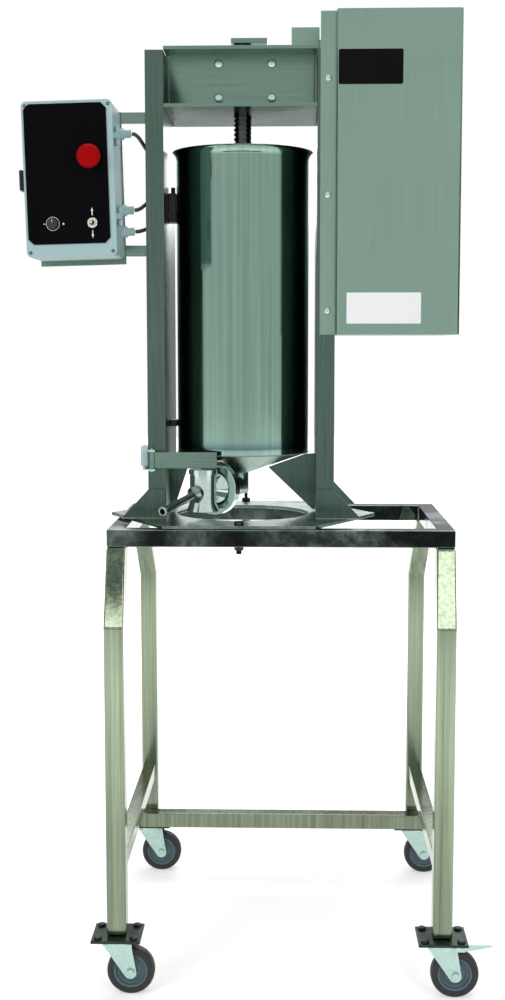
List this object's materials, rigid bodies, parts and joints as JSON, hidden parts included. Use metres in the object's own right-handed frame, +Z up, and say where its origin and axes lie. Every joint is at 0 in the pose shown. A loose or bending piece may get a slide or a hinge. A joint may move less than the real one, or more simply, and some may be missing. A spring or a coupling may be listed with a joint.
{
  "type": "electric sausage stuffer",
  "caption": "Upright electric sausage stuffer with screw-driven piston, cylinder, nozzle, drive cover and hinged control box on a wheeled stand.",
  "frame": {"origin": "on the floor, under the middle of the machine's footprint", "axes": "+Z up, -Y towards the operator in front of the control panel, +X to the operator's right, where the drive cover is"},
  "size_m": [0.7938, 0.635, 1.653],
  "materials": {
    "bright_stainless": "bright, lightly polished tube",
    "polished_stainless": "polished, drawn along its height",
    "brushed_stainless": "satin sheet with a fine grain",
    "zinc_plate": "pale zinc plating",
    "black_steel": "blackened, matt",
    "oiled_steel": "dark oiled steel",
    "tyre_rubber": "black solid tyre on a grey-blue hub",
    "black_rubber": "matt black",
    "pale_grey_plastic": "pale blue-grey, satin",
    "black_plastic": "black, satin",
    "red_plastic": "red, glossy",
    "motor_paint": "dark blue-grey paint, hidden by the cover",
    "bearing_bronze": "machined bronze, hidden in the crosshead"
  },
  "bodies": {
    "stand": {"bar_hinge": "brushed_stainless", "base_plate": "brushed_stainless", "bearing_housing": "brushed_stainless", "box_body": "pale_grey_plastic", "box_cable_1": "black_rubber", "box_cable_2": "black_rubber", "box_cable_3": "black_rubber", "box_mount": "brushed_stainless", "caster_plate_front_left": "black_steel", "caster_plate_front_right": "black_steel", "caster_plate_rear_left": "black_steel", "caster_plate_rear_right": "black_steel", "crosshead": "brushed_stainless", "cylinder": "polished_stainless", "cylinder_bracket_lower": "black_steel", "cylinder_bracket_upper": "black_steel", "drive_belt": "black_rubber", "drive_cover": "brushed_stainless", "end_switch": "brushed_stainless", "gear_motor": "motor_paint", "hold_down_bolt": "black_steel", "hold_down_stud": "black_steel", "leg_front_left": "bright_stainless", "leg_front_right": "bright_stainless", "leg_rear_left": "bright_stainless", "leg_rear_right": "bright_stainless", "nozzle": "polished_stainless", "outlet_funnel": "polished_stainless", "post_left": "brushed_stainless", "post_right": "brushed_stainless", "rear_rail": "bright_stainless", "safety_switch": "pale_grey_plastic", "side_rail_left": "bright_stainless", "side_rail_right": "bright_stainless", "table_frame": "bright_stainless", "union_nut": "polished_stainless", "valve_body": "polished_stainless"},
    "lift": {"lift_screw": "oiled_steel", "piston": "polished_stainless", "piston_seal": "black_rubber", "stop_plate": "brushed_stainless"},
    "nut": {"drive_nut": "bearing_bronze", "driven_pulley": "brushed_stainless"},
    "motor_shaft": {"motor_pulley": "brushed_stainless"},
    "lid": {"box_lid": "pale_grey_plastic", "front_panel": "black_plastic"},
    "stop_button": {"stop_button": "red_plastic"},
    "toggle_lever": {"toggle_lever": "zinc_plate"},
    "speed_knob": {"speed_knob": "black_plastic"},
    "lid_latch": {"lid_latch": "black_plastic"},
    "retaining_bar": {"retaining_bar": "brushed_stainless"},
    "brake_pedal": {"brake_pedal": "zinc_plate"},
    "caster_front_left": {"fork_front_left": "zinc_plate"},
    "wheel_front_left": {"wheel_front_left": "tyre_rubber"},
    "caster_front_right": {"fork_front_right": "zinc_plate"},
    "wheel_front_right": {"wheel_front_right": "tyre_rubber"},
    "caster_rear_left": {"fork_rear_left": "zinc_plate"},
    "wheel_rear_left": {"wheel_rear_left": "tyre_rubber"},
    "caster_rear_right": {"fork_rear_right": "zinc_plate"},
    "wheel_rear_right": {"wheel_rear_right": "tyre_rubber"}
  },
  "joints": [
    {"name": "nut_spin", "type": "hinge", "parent": "stand", "child": "nut", "pos_m": [-0.02714, 0.089, 1.499], "axis": [0, 0, 1], "range_deg": [0, 7920]},
    {"name": "piston_lift", "type": "slide", "parent": "stand", "child": "lift", "axis": [0, 0, 1], "range_m": [0, 0.55]},
    {"name": "motor_spin", "type": "hinge", "parent": "stand", "child": "motor_shaft", "pos_m": [0.24286, 0.089, 1.499], "axis": [0, 0, 1], "range_deg": [0, 15841]},
    {"name": "lid_open", "type": "hinge", "parent": "stand", "child": "lid", "pos_m": [-0.22987, -0.11315, 1.36014], "axis": [-0.0262, 0, 0.9997], "range_deg": [0, 110]},
    {"name": "stop_press", "type": "slide", "parent": "lid", "child": "stop_button", "axis": [0, 1, 0], "range_m": [0, 0.005], "stiffness_N_per_m": 600},
    {"name": "toggle_tilt", "type": "hinge", "parent": "lid", "child": "toggle_lever", "pos_m": [-0.27272, -0.1391, 1.28499], "axis": [0.9997, 0, 0.0262], "range_deg": [-15, 15], "stiffness_Nm_per_rad": 0.02},
    {"name": "knob_turn", "type": "hinge", "parent": "lid", "child": "speed_knob", "pos_m": [-0.3397, -0.1356, 1.28324], "axis": [0, -1, 0], "range_deg": [-140, 140]},
    {"name": "latch_turn", "type": "hinge", "parent": "lid", "child": "lid_latch", "pos_m": [-0.39241, -0.1293, 1.35589], "axis": [-0.0262, 0, 0.9997], "range_deg": [0, 90]},
    {"name": "bar_swing", "type": "hinge", "parent": "stand", "child": "retaining_bar", "pos_m": [-0.18564, -0.037, 0.8755], "axis": [0, 0, -1], "range_deg": [0, 100]},
    {"name": "swivel_front_left", "type": "hinge", "parent": "stand", "child": "caster_front_left", "pos_m": [-0.22514, -0.28, 0.09], "axis": [0, 0, 1], "continuous": true},
    {"name": "roll_front_left", "type": "hinge", "parent": "caster_front_left", "child": "wheel_front_left", "pos_m": [-0.20314, -0.28, 0.04], "axis": [0, 1, 0], "continuous": true},
    {"name": "swivel_front_right", "type": "hinge", "parent": "stand", "child": "caster_front_right", "pos_m": [0.31486, -0.28, 0.09], "axis": [0, 0, 1], "continuous": true},
    {"name": "roll_front_right", "type": "hinge", "parent": "caster_front_right", "child": "wheel_front_right", "pos_m": [0.33686, -0.28, 0.04], "axis": [0, 1, 0], "continuous": true},
    {"name": "swivel_rear_left", "type": "hinge", "parent": "stand", "child": "caster_rear_left", "pos_m": [-0.22514, 0.28, 0.09], "axis": [0, 0, 1], "continuous": true},
    {"name": "roll_rear_left", "type": "hinge", "parent": "caster_rear_left", "child": "wheel_rear_left", "pos_m": [-0.20314, 0.28, 0.04], "axis": [0, 1, 0], "continuous": true},
    {"name": "swivel_rear_right", "type": "hinge", "parent": "stand", "child": "caster_rear_right", "pos_m": [0.31486, 0.28, 0.09], "axis": [0, 0, 1], "continuous": true},
    {"name": "roll_rear_right", "type": "hinge", "parent": "caster_rear_right", "child": "wheel_rear_right", "pos_m": [0.33686, 0.28, 0.04], "axis": [0, 1, 0], "continuous": true},
    {"name": "brake_press", "type": "hinge", "parent": "caster_front_right", "child": "brake_pedal", "pos_m": [0.34786, -0.28, 0.087], "axis": [0, 1, 0], "range_deg": [0, 10]}
  ],
  "couplings": [
    {"joint": "piston_lift", "follows": "nut_spin", "m_per_rad": 0.0039788},
    {"joint": "motor_spin", "follows": "nut_spin", "ratio": 2}
  ]
}
